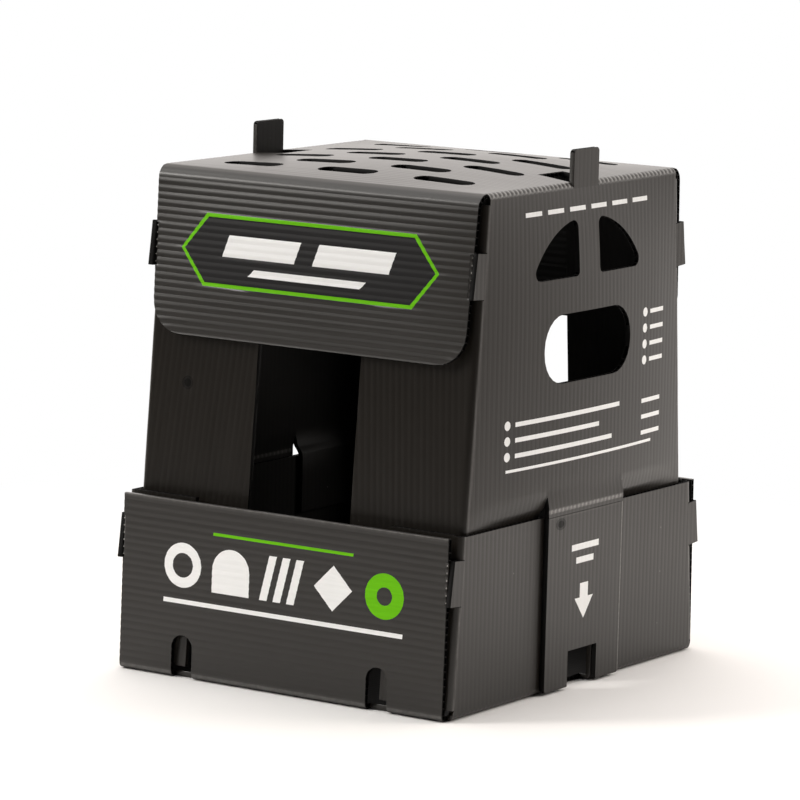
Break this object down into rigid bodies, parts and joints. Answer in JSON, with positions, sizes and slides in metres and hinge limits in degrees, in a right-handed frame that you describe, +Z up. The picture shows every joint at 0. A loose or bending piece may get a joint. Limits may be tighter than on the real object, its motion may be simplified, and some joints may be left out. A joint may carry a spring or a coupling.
{
  "type": "corrugated plastic packing box",
  "caption": "Dark fluted plastic packing box: an open tray and a vented lift-off top with hand holes, windows, stacking tabs and pull tabs at the sides.",
  "frame": {"origin": "middle of the tray's footprint, on the floor", "axes": "+Z up, +X to the right seen from the front, the front faces -Y"},
  "size_m": [0.2284, 0.2602, 0.2975],
  "materials": {
    "sheet": "satin"
  },
  "bodies": {
    "tray": {"tray": "sheet"},
    "box_top": {"box_top": "sheet"},
    "right_pull_tab": {"right_pull_tab": "sheet"},
    "left_pull_tab": {"left_pull_tab": "sheet"}
  },
  "joints": [
    {"name": "top_lift", "type": "slide", "parent": "tray", "child": "box_top", "axis": [0, 0, 1], "range_m": [0, 0.11]},
    {"name": "right_tab_hinge", "type": "hinge", "parent": "box_top", "child": "right_pull_tab", "pos_m": [0.11415, 0, 0.0986], "axis": [0, -1, 0], "range_deg": [0, 80]},
    {"name": "left_tab_hinge", "type": "hinge", "parent": "box_top", "child": "left_pull_tab", "pos_m": [-0.11415, 0, 0.0986], "axis": [0, 1, 0], "range_deg": [0, 80]}
  ]
}
